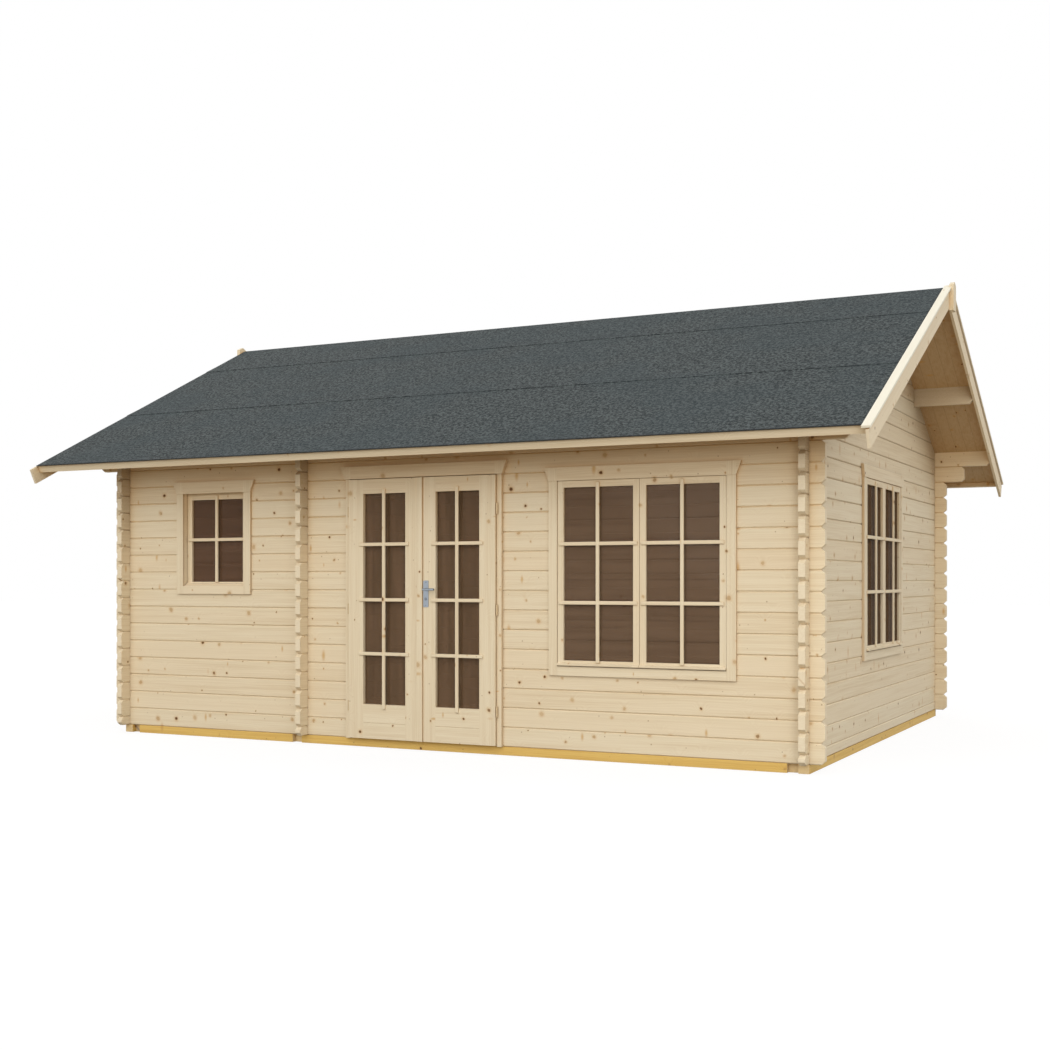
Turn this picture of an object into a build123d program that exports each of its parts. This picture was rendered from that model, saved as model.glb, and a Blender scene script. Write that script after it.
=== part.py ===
from build123d import *
import os
from functools import lru_cache
from math import ceil, cos, radians, sin, tan

os.makedirs("parts", exist_ok=True)

# Log cabin with a gable roof, in millimetres. The origin is the middle of the base on the ground,
# X runs along the front to the right, the front wall faces -Y and Z is up.

# Overall size, outside the log walls and without the projecting log ends
LENGTH = 5600
DEPTH = 4280

# Logs
LOG_T = 44
LOG_PITCH = 136
LOG_SEAM = 0.3
V_CUT = 7
END_REACH = 100
END_CUT_LONG = 28
END_CUT_HIGH = 24
TOP_COURSES = 2
BRACKET_REACH = 255

# Foundation and floor
BEAM_H = 60
BEAM_W = 70
PARTITION_BEAM_W = 84
PARTITION_BEAM_SIDE = 34
EDGE_JOIST_W = 74
JOIST_W = 60
JOIST_SPACING = 600
BEAM_RECESS = 40
FLOOR_T = 19
FLOOR_GAP = 3

# Roof
ROOF_ANGLE = 26.1
PLATE_H = 108
ROOF_SEAT = 0.3
BOARD_T = 18
FELT_T = 3.5
LAP_STEP = 3.5
LAP_FADE = 150
LAP_LINES = (620, 1780)
EAVE_OVERHANG = 495
FELT_DRIP = 15
GABLE_OVERHANG = 495
FASCIA_T = 20
FASCIA_H = 58
BARGE_T = 20
BARGE_H = 118
BARGE_DROP = 6
BARGE_PAST_FELT = 57
STRIP_W = 56
STRIP_T = 14
STRIP_OUT = 13
FINIAL_W = 100
FINIAL_T = 32
FINIAL_TOP = 58
FINIAL_DROP = 158
FINIAL_PEAK = 24
PURLIN_W = 58
PURLIN_H = 130
PURLIN_PART = 0.278
PURLIN_CUT = 30
RIDGE_GAP = 1

# Double door
DOOR_X = -15
DOOR_W = 1214
LEAF_T = 40
LEAF_H = 1890
LEAF_GAP = 6
DOOR_CLEAR = 6
LINING_OVER = 14
LEAF_OVERLAP = 20
STILE_W = 125
MEETING_STILE = 100
TOP_RAIL = 105
BOTTOM_RAIL = 250
RAIL_JOINT = 115
JOINT_CUT = 3
DOOR_FRAME_T = 40
DOOR_CASING_W = 34
DOOR_CASING_T = 26
THRESHOLD_H = 24
MEETING_W = 45
MEETING_T = 10
DOOR_GLASS_T = 6
DOOR_GLASS_SET = 28
DOOR_HEAD_T = 38
DOOR_HEAD_OVER = 8
DOOR_HEAD_FLARE = 34

# Door handle
PLATE_W = 42
PLATE_L = 190
PLATE_T = 4
PLATE_EDGE = 1
PLATE_Z = 1123
LEVER_Z = 1155
LEVER_L = 85
LEVER_D = 16
LEVER_STAND = 36
LEVER_CLEAR = 0.3
SPINDLE_D = 10
SPINDLE_CLEAR = 1
ROUND_SIDES = 12

# Hinges
HINGE_R = 7
HINGE_H = 38
HINGE_CLEAR = 2
HINGE_ROD = 6
KNUCKLE_GAP = 0.3
HINGE_INSET = 235

# Windows
FRAME_T = 36
FRAME_DEPTH = 70
SASH_T = 42
WIDE_SASH_SET = -14
SMALL_SASH_SET = 36
SASH_W = 44
WIDE_SASH_BOTTOM = 34
SMALL_SASH_BOTTOM = 24
SASH_GAP = 3
SILL_GAP = 8
GLASS_T = 6
DRIP_H = 18
DRIP_OUT = 20
CASING_W = 64
CASING_T = 18
CASING_DROP = 34
CASING_GAP = 0.5
HEAD_T = 22
HEAD_H = 92
HEAD_LAP = 30
HEAD_FLARE = 36
WIDE_WINDOW_W = 1207
WIDE_WINDOW_COURSES = 10
SMALL_WINDOW_W = 592
SMALL_WINDOW_COURSES = 6
SMALL_WINDOW_SHARE = 0.507
FRONT_WINDOW_SHARE = 0.417
GABLE_WINDOW_Y = -50

# Partition, at its share of the length, and the doorway in it
PARTITION_PART = 0.186
INNER_DOOR_PART = 0.14
INNER_DOOR_W = 800

# Lines that several pieces share
FRONT_Y = -DEPTH / 2
SIDE_X = LENGTH / 2
PARTITION_X = -LENGTH * PARTITION_PART
DOOR_TOP = BEAM_H + LEAF_H + LINING_OVER
DOOR_COURSES = ceil((LEAF_H + LINING_OVER) / LOG_PITCH - 0.01)
COURSES = DOOR_COURSES + TOP_COURSES
WALL_TOP = BEAM_H + COURSES * LOG_PITCH
NOTCH = LOG_PITCH / 2 - LOG_SEAM
SLOPE = radians(ROOF_ANGLE)
EAVE_Z = WALL_TOP + PLATE_H
RIDGE_Z = EAVE_Z + DEPTH / 2 * tan(SLOPE)
BARGE_X = SIDE_X + GABLE_OVERHANG
BOARD_X = BARGE_X - BARGE_T
STRIP_X = BARGE_X + STRIP_OUT - STRIP_W
FELT_TOP = BOARD_T + FELT_T
FELT_END = (DEPTH / 2 + EAVE_OVERHANG - FELT_TOP * sin(SLOPE)) / cos(SLOPE)
BOARD_END = FELT_END - FELT_DRIP - FASCIA_T
BARGE_END = FELT_END + BARGE_PAST_FELT
PURLIN_Y = DEPTH * PURLIN_PART
LEAF_LOW = BEAM_H + DOOR_CLEAR
LEAF_BACK = -DOOR_CLEAR
LEAF_FRONT = LEAF_BACK - LEAF_T
HINGE_Y = -DOOR_CASING_T - HINGE_CLEAR - HINGE_R
HINGE_HEIGHTS = (LEAF_LOW + HINGE_INSET, LEAF_LOW + LEAF_H / 2, LEAF_LOW + LEAF_H - HINGE_INSET)


def save(name, *solids):
    """Write one node, made of one solid or of several that stand apart."""
    export_step(solids[0] if len(solids) == 1 else Compound(children=list(solids)), f"parts/{name}.step")


def box(x0, x1, y0, y1, z0, z1):
    """A block between two corners."""
    return Pos((x0 + x1) / 2, (y0 + y1) / 2, (z0 + z1) / 2) * Box(x1 - x0, y1 - y0, z1 - z0)


def prism_x(points, x0, x1):
    """A profile of (y, z) points pushed along X."""
    return extrude(Plane.YZ.offset(x0) * make_face(Polyline(*points, close=True)), amount=x1 - x0)


def prism_y(points, y0, y1):
    """A profile of (x, z) points pushed along Y."""
    return extrude(Plane.XZ.offset(-y1) * make_face(Polyline(*points, close=True)), amount=y1 - y0)


# Log walls
def course_line(k, half):
    """Height of the underside of course k; walls that start with a half log lie half a course higher."""
    return BEAM_H + (k + (0.5 if half else 0)) * LOG_PITCH


def log_profile(start, end, height, cut_start, cut_end):
    """Side view of a log, with the corners cut off at each free end."""
    left = [(start, 0), (start, height)]
    right = [(end, height), (end, 0)]
    if cut_start:
        left = [(start + END_CUT_LONG, 0), (start, END_CUT_HIGH),
                (start, height - END_CUT_HIGH), (start + END_CUT_LONG, height)]
    if cut_end:
        right = [(end - END_CUT_LONG, height), (end, height - END_CUT_HIGH),
                 (end, END_CUT_HIGH), (end - END_CUT_LONG, 0)]
    return left + right


def v_jointed(side, start, end, height):
    """A log along X: its side view, met by a section with V-cut edges."""
    body = extrude(Plane.XZ * side, amount=LOG_T / 2, both=True)
    half = LOG_T / 2
    top = height - LOG_SEAM
    section = [(-half, V_CUT), (V_CUT - half, 0), (half - V_CUT, 0), (half, V_CUT),
               (half, top - V_CUT), (half - V_CUT, top), (V_CUT - half, top), (-half, top - V_CUT)]
    return body & prism_x(section, start, end)


@lru_cache(maxsize=None)
def log(start, end, height, cut_start, cut_end, notches):
    """A log, notched below to sit down over the walls that cross it, its underside at z = 0."""
    side = make_face(Polyline(*log_profile(start, end, height, cut_start, cut_end), close=True))
    for x in notches:
        side -= Pos(x, 0) * Rectangle(LOG_T, 2 * NOTCH)
    return v_jointed(side, start, end, height)


def course(mid_y, z0, z1, start, end, crossings, openings):
    """All the logs of one course, split where an opening takes its whole height and else cut out."""
    stops = [start]
    cuts = []
    for mid, width, low, high in sorted(openings):
        if low < z0 + LOG_SEAM and high > z1 - LOG_SEAM:
            stops += [mid - width / 2, mid + width / 2]
        elif low < z1 - LOG_SEAM and high > z0 + LOG_SEAM:
            cuts.append(box(mid - width / 2, mid + width / 2, -LOG_T, LOG_T, low - z0, high - z0))
    stops.append(end)
    logs = []
    for a, b in zip(stops[::2], stops[1::2]):
        piece = log(a, b, z1 - z0, a == start, b == end, tuple(x for x in crossings if a < x < b))
        for cut in cuts:
            piece -= cut
        logs += [Pos(0, mid_y, z0) * part for part in piece.solids()]
    return logs


def long_wall(mid_y, openings):
    """Front or back wall: full logs from the ground up, the top one reaching under the gable overhang."""
    corners = [-SIDE_X + LOG_T / 2, PARTITION_X, SIDE_X - LOG_T / 2]
    logs = []
    for k in range(COURSES):
        reach = BRACKET_REACH if k == COURSES - 1 else END_REACH
        logs += course(mid_y, course_line(k, False), course_line(k + 1, False),
                       -SIDE_X - reach, SIDE_X + reach, corners, openings)
    return logs


def cross_wall(mid_x, openings):
    """Gable wall or partition below the eaves: a half log first, then full logs."""
    corners = [FRONT_Y + LOG_T / 2, -FRONT_Y - LOG_T / 2]
    ends = (FRONT_Y - END_REACH, -FRONT_Y + END_REACH)
    logs = course(-mid_x, BEAM_H, course_line(0, True), *ends, [], openings)
    for k in range(COURSES):
        logs += course(-mid_x, course_line(k, True), course_line(k + 1, True), *ends, corners, openings)
    return [Rot(0, 0, 90) * piece for piece in logs]


def roof_half_width(z):
    """How far from the ridge the underside of the roof lies at height z."""
    return (RIDGE_Z - ROOF_SEAT - z) / tan(SLOPE)


def gable_peak():
    """The logs of a gable above the eaves, cut to the roof and let in round the purlins."""
    inner = DEPTH / 2 - LOG_T
    logs = []
    k = COURSES
    while course_line(k, True) < RIDGE_Z - ROOF_SEAT - V_CUT * 2:
        z0 = course_line(k, True)
        z1 = min(course_line(k + 1, True), RIDGE_Z - ROOF_SEAT - V_CUT)
        low = min(roof_half_width(z0), inner)
        top = roof_half_width(z1)
        points = [(-low, z0), (low, z0), (top, z1), (-top, z1)]
        if roof_half_width(z0) > inner:
            shoulder = RIDGE_Z - ROOF_SEAT - inner * tan(SLOPE)
            points = [(-low, z0), (low, z0), (low, shoulder), (top, z1), (-top, z1), (-low, shoulder)]
        side = make_face(Polyline(*[(y, z - z0) for y, z in points], close=True))
        for y in (-PURLIN_Y, 0, PURLIN_Y):
            slot = purlin_bottom(y)
            if slot < z1:
                side -= Pos(y, (slot + RIDGE_Z) / 2 - z0) * Rectangle(PURLIN_W, RIDGE_Z - slot)
        logs += [Pos(0, 0, z0) * piece for piece in v_jointed(side, -low, low, z1 - z0).solids()]
        k += 1
    return logs


# Roof
def slope_point(s, t):
    """A point of the front slope: s down from the ridge, t out from the underside of the boards."""
    return (-s * cos(SLOPE) - t * sin(SLOPE), RIDGE_Z - s * sin(SLOPE) + t * cos(SLOPE))


def ridge_start(t, gap=0.0):
    """Where a layer at height t is cut plumb at the ridge."""
    return slope_point(-t * tan(SLOPE) + gap / cos(SLOPE), t)


def slope_layer(t0, t1, end, x0, x1, gap=0.0):
    """A flat layer of the front slope, from a plumb cut at the ridge to a square end."""
    points = [ridge_start(t0, gap), slope_point(end, t0), slope_point(end, t1), ridge_start(t1, gap)]
    return prism_x(points, x0, x1)


def felt_sheet():
    """The felt of the front slope in three lapped lengths, flat below the edge strip on the right."""
    points = [ridge_start(BOARD_T), slope_point(FELT_END, BOARD_T), slope_point(FELT_END, FELT_TOP)]
    for lap in reversed(LAP_LINES):
        points += [slope_point(lap, FELT_TOP), slope_point(lap, FELT_TOP + LAP_STEP),
                   slope_point(lap - LAP_FADE, FELT_TOP)]
    points.append(ridge_start(FELT_TOP))
    lapped = prism_x(points, -BOARD_X, STRIP_X)
    return lapped + slope_layer(BOARD_T, FELT_TOP, FELT_END, -BOARD_X, BOARD_X)


def opposite(piece):
    """The same piece on the other side of the ridge."""
    return mirror(piece, about=Plane.XZ)


def purlin_bottom(y):
    return RIDGE_Z - ROOF_SEAT - abs(y) * tan(SLOPE) - PURLIN_H


def purlin(y):
    """A roof beam with its top cut to the slope and its lower end corners cut off."""
    low = purlin_bottom(y)
    half = PURLIN_W / 2
    top = [(y + half, RIDGE_Z - ROOF_SEAT - abs(y + half) * tan(SLOPE)),
           (y - half, RIDGE_Z - ROOF_SEAT - abs(y - half) * tan(SLOPE))]
    if y == 0:
        top.insert(1, (0, RIDGE_Z - ROOF_SEAT))
    beam = prism_x([(y - half, low), (y + half, low)] + top, -BOARD_X, BOARD_X)
    return trim_ends(beam, y, PURLIN_W, low)


def trim_ends(beam, y, width, low):
    """Cut the lower corners off both ends of a roof beam."""
    for side in (-1, 1):
        corner = [(side * BOARD_X, low - 1), (side * BOARD_X, low + PURLIN_CUT),
                  (side * (BOARD_X - PURLIN_CUT), low), (side * (BOARD_X - PURLIN_CUT), low - 1)]
        beam -= prism_y(corner, y - width, y + width)
    return beam


def wall_plate():
    """The top log of the front wall, bevelled to the roof and reaching to the barge boards."""
    inner = FRONT_Y + LOG_T
    seat = EAVE_Z - ROOF_SEAT
    beam = prism_x([(FRONT_Y, WALL_TOP + V_CUT), (FRONT_Y + V_CUT, WALL_TOP), (inner - V_CUT, WALL_TOP),
                    (inner, WALL_TOP + V_CUT), (inner, seat + LOG_T * tan(SLOPE)), (FRONT_Y, seat)],
                   -BOARD_X, BOARD_X)
    for x in (-SIDE_X + LOG_T / 2, PARTITION_X, SIDE_X - LOG_T / 2):
        beam -= box(x - LOG_T / 2, x + LOG_T / 2, FRONT_Y, inner, WALL_TOP, WALL_TOP + NOTCH)
    return trim_ends(beam, FRONT_Y + LOG_T / 2, LOG_T, WALL_TOP)


def finial(x0):
    """A short board with a peaked top over the joint of the barge boards."""
    half = FINIAL_W / 2
    top = RIDGE_Z + FINIAL_TOP
    low = RIDGE_Z - FINIAL_DROP
    points = [(-half, low), (half, low), (half, top - FINIAL_PEAK), (0, top), (-half, top - FINIAL_PEAK)]
    return prism_x(points, x0, x0 + FINIAL_T)


# Joinery, made about the middle of an opening with the wall's outer face at y = 0 and the outside at -Y
def ring(width, height, side, top, bottom, y0, y1, z0):
    """A rectangular frame with its own widths at the sides, top and bottom."""
    outer = box(-width / 2, width / 2, y0, y1, z0, z0 + height)
    hole = box(-width / 2 + side, width / 2 - side, y0 - 1, y1 + 1, z0 + bottom, z0 + height - top)
    return outer - hole


def head_board(width, z0, height, flare, thick):
    """A board over an opening, with ends that flare outwards to the top."""
    half = width / 2
    points = [(-half, z0), (half, z0), (half + flare, z0 + height), (-half - flare, z0 + height)]
    return prism_y(points, -thick, 0)


def window(name, place, width, z0, z1, sashes, sash_set, rail):
    """A window with its lining, fixed sashes, panes and outside casing."""
    lining = ring(width + 2 * FRAME_T, z1 - z0, FRAME_T, FRAME_T, FRAME_T, 0, FRAME_DEPTH, z0)
    save(f"{name}_frame", place * lining)
    sash_w = (width - SASH_GAP * (sashes + 1)) / sashes
    low = z0 + FRAME_T
    head = z1 - FRAME_T - HEAD_LAP
    sash_h = head + HEAD_LAP - SASH_GAP - low
    pane_y = sash_set + (SASH_T - GLASS_T) / 2
    lip = sash_set - DRIP_OUT
    frames = []
    panes = []
    for i in range(sashes):
        x = -width / 2 + SASH_GAP + sash_w / 2 + i * (sash_w + SASH_GAP)
        sash = ring(sash_w, sash_h, SASH_W, SASH_W + HEAD_LAP, rail, sash_set, sash_set + SASH_T, low)
        drip = [(sash_set, low), (lip, low), (lip, low + DRIP_H / 2), (sash_set, low + DRIP_H)]
        sash += prism_x(drip, -sash_w / 2, sash_w / 2)
        if sash_set < 0:
            sash -= box(-sash_w / 2, sash_w / 2, sash_set, CASING_GAP, head - SASH_GAP, low + sash_h)
        frames.append(place * Pos(x, 0, 0) * sash)
        panes.append(place * box(x - sash_w / 2 + SASH_W, x + sash_w / 2 - SASH_W, pane_y, pane_y + GLASS_T,
                                 low + rail, low + sash_h - SASH_W - HEAD_LAP))
    save(f"{name}_sash" if sashes == 1 else f"{name}_sashes", *frames)
    save(f"{name}_glass", *panes)
    outer = width / 2 + CASING_W
    inner = width / 2 - CASING_GAP
    bottom = z0 - CASING_DROP
    boards = [box(-outer, -width / 2, -CASING_T, 0, bottom, head - CASING_GAP),
              box(width / 2, outer, -CASING_T, 0, bottom, head - CASING_GAP),
              box(-inner, inner, -CASING_T, 0, bottom, low - SILL_GAP),
              head_board(2 * outer, head, HEAD_H, HEAD_FLARE, HEAD_T)]
    save(f"{name}_casing", *[place * board for board in boards])


def round_bar(radius, length):
    """A bar along Z about the origin, round in steps."""
    return extrude(RegularPolygon(radius, ROUND_SIDES), amount=length / 2, both=True)


def door_light(edge, width, stile):
    """Sides of a leaf's light, between its hinge stile at x = 0 and its meeting stile."""
    return sorted((edge * STILE_W, edge * (width - stile)))


def door_leaf(edge, width, stile):
    """A leaf hung at x = 0 and reaching to x = width * edge, with one tall light."""
    x0, x1 = door_light(edge, width, stile)
    leaf = box(-width / 2, width / 2, LEAF_FRONT, LEAF_BACK, LEAF_LOW, LEAF_LOW + LEAF_H)
    leaf = Pos(edge * width / 2, 0, 0) * leaf
    leaf -= box(x0, x1, LEAF_FRONT, LEAF_BACK, LEAF_LOW + BOTTOM_RAIL, LEAF_LOW + LEAF_H - TOP_RAIL)
    groove = LEAF_LOW + RAIL_JOINT
    cut = [(LEAF_FRONT - 1, groove - JOINT_CUT), (LEAF_FRONT + JOINT_CUT, groove),
           (LEAF_FRONT - 1, groove + JOINT_CUT)]
    return leaf - prism_x(cut, x0, x1)


def door_glass(edge, width, stile):
    x0, x1 = door_light(edge, width, stile)
    y = LEAF_FRONT + DOOR_GLASS_SET
    return box(x0, x1, y, y + DOOR_GLASS_T, LEAF_LOW + BOTTOM_RAIL, LEAF_LOW + LEAF_H - TOP_RAIL)


def hinge_half(side, upper, z):
    """One half of a drill-in hinge: a knuckle on the axis and the rod that holds it."""
    x = -side * (HINGE_R + HINGE_CLEAR)
    y = HINGE_Y
    start = z if upper else z - HINGE_H
    knuckle = Pos(x, y, start + HINGE_H / 2) * round_bar(HINGE_R, HINGE_H - KNUCKLE_GAP)
    if upper:
        rod = Pos(x / 2, y, start + HINGE_H / 2) * Rot(0, 90, 0) * round_bar(HINGE_ROD / 2, abs(x))
    else:
        reach = -DOOR_CASING_T - y
        rod = Pos(x, y + reach / 2, start + HINGE_H / 2) * Rot(90, 0, 0) * round_bar(HINGE_ROD / 2, reach)
    return knuckle + rod


def lever_side(x, face, out):
    """One lever: a neck square to the leaf and a rounded grip along it."""
    start = face + out * LEVER_CLEAR
    y = face + out * LEVER_STAND
    neck = Pos(x, (start + y) / 2, LEVER_Z) * Rot(90, 0, 0) * round_bar(LEVER_D / 2, abs(y - start))
    grip_l = LEVER_L + LEVER_D / 2
    grip = Pos(x + LEVER_L - grip_l / 2, y, LEVER_Z) * Rot(0, 90, 0) * round_bar(LEVER_D / 2, grip_l)
    return neck + grip


# Foundation and floor
front_inner = FRONT_Y + BEAM_W
side_inner = SIDE_X - BEAM_W
beam_end = side_inner - EDGE_JOIST_W
part_right = PARTITION_X - PARTITION_BEAM_SIDE
part_left = part_right - PARTITION_BEAM_W
front_beams = [box(-beam_end, part_left, FRONT_Y, front_inner, 0, BEAM_H),
               box(part_right, beam_end, FRONT_Y, front_inner, 0, BEAM_H)]
save("foundation_front", *front_beams)
save("foundation_back", *[opposite(beam) for beam in front_beams])
save("foundation_sides",
     box(-SIDE_X, -side_inner, FRONT_Y, -FRONT_Y, 0, BEAM_H),
     box(part_left, part_right, FRONT_Y + BEAM_RECESS, -FRONT_Y - BEAM_RECESS, 0, BEAM_H),
     box(side_inner, SIDE_X, FRONT_Y, -FRONT_Y, 0, BEAM_H))

joists = [box(-side_inner, -beam_end, FRONT_Y + BEAM_RECESS, -FRONT_Y - BEAM_RECESS, 0, BEAM_H),
          box(beam_end, side_inner, FRONT_Y + BEAM_RECESS, -FRONT_Y - BEAM_RECESS, 0, BEAM_H)]
joist_places = [PARTITION_X]
for left, right in ((-beam_end, part_left), (PARTITION_X, beam_end)):
    count = max(int((right - left) // JOIST_SPACING), 1)
    step = (right - left) / (count + 1)
    joist_places += [left + step * (i + 1) for i in range(count)]
for x in joist_places:
    joists.append(box(x - JOIST_W / 2, x + JOIST_W / 2, front_inner, -front_inner, 0, BEAM_H))
save("floor_joists", *joists)

room_y = -FRONT_Y - LOG_T - FLOOR_GAP
left_room = (-SIDE_X + LOG_T + FLOOR_GAP, PARTITION_X - LOG_T / 2 - FLOOR_GAP)
main_room = (PARTITION_X + LOG_T / 2 + FLOOR_GAP, SIDE_X - LOG_T - FLOOR_GAP)
save("floor_side_room", box(*left_room, -room_y, room_y, BEAM_H, BEAM_H + FLOOR_T))

# Lines of the door
door_half = DOOR_W / 2
left_w = door_half + MEETING_W / 2
left_stile = MEETING_STILE + MEETING_W
right_w = door_half - MEETING_W / 2 - LEAF_GAP
clear_half = door_half - LEAF_OVERLAP
jamb_half = clear_half + DOOR_FRAME_T
casing_in = door_half + DOOR_CLEAR
casing_out = casing_in + DOOR_CASING_W
head_half = casing_out + DOOR_HEAD_OVER
door_place = Pos(DOOR_X, FRONT_Y, 0)

# The floor stops at the lining and the threshold of the door
lining_cut = box(DOOR_X - jamb_half - FLOOR_GAP, DOOR_X + jamb_half + FLOOR_GAP,
                 FRONT_Y, FRONT_Y + FRAME_DEPTH + FLOOR_GAP, 0, WALL_TOP)
main_floor = box(*main_room, -room_y, room_y, BEAM_H, BEAM_H + FLOOR_T)
save("floor_main_room", main_floor - lining_cut)

# Windows, each at its share of the free wall beside it
around = CASING_W + HEAD_FLARE
free_left = PARTITION_X - LOG_T / 2 - (-SIDE_X + LOG_T) - SMALL_WINDOW_W - 2 * around
small_x = -SIDE_X + LOG_T + SMALL_WINDOW_SHARE * free_left + around + SMALL_WINDOW_W / 2
door_side = DOOR_X + head_half + DOOR_HEAD_FLARE
free_right = SIDE_X - LOG_T - door_side - WIDE_WINDOW_W - 2 * around
front_x = door_side + FRONT_WINDOW_SHARE * free_right + around + WIDE_WINDOW_W / 2
window_top = course_line(DOOR_COURSES, False)
small_low = course_line(DOOR_COURSES - SMALL_WINDOW_COURSES, False)
wide_low = course_line(DOOR_COURSES - WIDE_WINDOW_COURSES, False)
gable_top = course_line(DOOR_COURSES, True)
gable_low = course_line(DOOR_COURSES - WIDE_WINDOW_COURSES, True)
window("small_window", Pos(small_x, FRONT_Y, 0), SMALL_WINDOW_W, small_low, window_top, 1,
       SMALL_SASH_SET, SMALL_SASH_BOTTOM)
window("front_window", Pos(front_x, FRONT_Y, 0), WIDE_WINDOW_W, wide_low, window_top, 2,
       WIDE_SASH_SET, WIDE_SASH_BOTTOM)
window("gable_window", Pos(SIDE_X, GABLE_WINDOW_Y, 0) * Rot(0, 0, 90), WIDE_WINDOW_W, gable_low, gable_top, 2,
       WIDE_SASH_SET, WIDE_SASH_BOTTOM)

# Walls
wide_open = WIDE_WINDOW_W + 2 * FRAME_T
front_openings = [(small_x, SMALL_WINDOW_W + 2 * FRAME_T, small_low, window_top),
                  (DOOR_X, 2 * jamb_half, BEAM_H, DOOR_TOP),
                  (front_x, wide_open, wide_low, window_top)]
wall_mid = FRONT_Y + LOG_T / 2
side_mid = SIDE_X - LOG_T / 2
save("front_wall_logs", *long_wall(wall_mid, front_openings))
save("back_wall_logs", *long_wall(-wall_mid, []))
save("right_gable_logs", *cross_wall(side_mid, [(GABLE_WINDOW_Y, wide_open, gable_low, gable_top)]))
save("left_gable_logs", *cross_wall(-side_mid, []))
peak = gable_peak()
save("right_gable_peak", *[Pos(side_mid, 0, 0) * Rot(0, 0, 90) * piece for piece in peak])
save("left_gable_peak", *[Pos(-side_mid, 0, 0) * Rot(0, 0, 90) * piece for piece in peak])
save("partition_logs", *cross_wall(PARTITION_X, [(DEPTH * INNER_DOOR_PART, INNER_DOOR_W, BEAM_H, gable_top)]))

# Roof
plate = wall_plate()
save("wall_plates", plate, opposite(plate))
save("purlins", purlin(-PURLIN_Y), purlin(0), purlin(PURLIN_Y))
boards = slope_layer(0, BOARD_T, BOARD_END, -BOARD_X, BOARD_X)
save("roof_boards_front", boards)
save("roof_boards_back", opposite(boards))
felt = felt_sheet()
save("roof_felt_front", felt)
save("roof_felt_back", opposite(felt))
fascia_points = [slope_point(s, t) for s, t in ((BOARD_END, BOARD_T), (BOARD_END, BOARD_T - FASCIA_H),
                                                (BOARD_END + FASCIA_T, BOARD_T - FASCIA_H),
                                                (BOARD_END + FASCIA_T, BOARD_T))]
fascia = prism_x(fascia_points, -BOARD_X, BOARD_X)
save("eave_fascias", fascia, opposite(fascia))
barge_top = BOARD_T - BARGE_DROP
barges = [slope_layer(barge_top - BARGE_H, barge_top, BARGE_END, x, x + BARGE_T, RIDGE_GAP / 2)
          for x in (-BARGE_X, BOARD_X)]
save("barge_boards", *barges, *[opposite(piece) for piece in barges])
strip = slope_layer(FELT_TOP, FELT_TOP + STRIP_T, BARGE_END, STRIP_X, STRIP_X + STRIP_W, RIDGE_GAP / 2)
finial_half = FINIAL_W / 2 + RIDGE_GAP / 2
strip -= box(BARGE_X, BARGE_X + STRIP_W, -finial_half, finial_half, 0, RIDGE_Z + FINIAL_TOP)
save("edge_strips", strip, opposite(strip))
save("finials", finial(BARGE_X), finial(-BARGE_X - FINIAL_T))

# Double door
lining = ring(2 * jamb_half, DOOR_TOP - BEAM_H, DOOR_FRAME_T, DOOR_FRAME_T, -1, 0, FRAME_DEPTH, BEAM_H)
save("door_frame", door_place * lining)
save("door_threshold", door_place * box(-clear_half, clear_half, 0, FRAME_DEPTH, BEAM_H, BEAM_H + THRESHOLD_H))
head_z = LEAF_LOW + LEAF_H + DOOR_CLEAR
casing = [box(-casing_out, -casing_in, -DOOR_CASING_T, 0, BEAM_H, head_z - CASING_GAP),
          box(casing_in, casing_out, -DOOR_CASING_T, 0, BEAM_H, head_z - CASING_GAP),
          head_board(2 * head_half, head_z, HEAD_H, DOOR_HEAD_FLARE, DOOR_HEAD_T)]
save("door_casing", *[door_place * board for board in casing])

left_place = door_place * Pos(-door_half, 0, 0)
right_place = door_place * Pos(door_half, 0, 0)
save("left_door_leaf", left_place * door_leaf(1, left_w, left_stile))
save("left_door_glass", left_place * door_glass(1, left_w, left_stile))
save("meeting_strip", left_place * box(left_w - MEETING_W, left_w, LEAF_FRONT - MEETING_T, LEAF_FRONT,
                                       LEAF_LOW, LEAF_LOW + LEAF_H))
lever_x = -right_w + PLATE_EDGE + PLATE_W / 2
spindle_hole = Pos(lever_x, (LEAF_FRONT + LEAF_BACK) / 2, LEVER_Z) * Rot(90, 0, 0) * round_bar(
    SPINDLE_D / 2 + SPINDLE_CLEAR, LEAF_T + 2)
save("right_door_leaf", right_place * (door_leaf(-1, right_w, MEETING_STILE) - spindle_hole))
save("right_door_glass", right_place * door_glass(-1, right_w, MEETING_STILE))

neck_hole = Pos(lever_x, 0, LEVER_Z) * Rot(90, 0, 0) * round_bar(LEVER_D / 2 + SPINDLE_CLEAR, 4 * LEAF_T)
plate_back = box(lever_x - PLATE_W / 2, lever_x + PLATE_W / 2, LEAF_BACK, LEAF_BACK + PLATE_T,
                 PLATE_Z - PLATE_L / 2, PLATE_Z + PLATE_L / 2)
plate_front = Pos(0, -LEAF_T - PLATE_T, 0) * plate_back
plates = [chamfer(piece.edges().filter_by(Axis.Y), PLATE_T) - neck_hole for piece in (plate_front, plate_back)]
save("handle_plates", *[right_place * piece for piece in plates])
spindle = Pos(lever_x, (LEAF_FRONT + LEAF_BACK) / 2, LEVER_Z) * Rot(90, 0, 0) * round_bar(
    SPINDLE_D / 2, LEAF_T + 2 * LEVER_CLEAR)
lever = spindle + lever_side(lever_x, LEAF_FRONT, -1) + lever_side(lever_x, LEAF_BACK, 1)
save("door_lever", right_place * lever)

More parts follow.
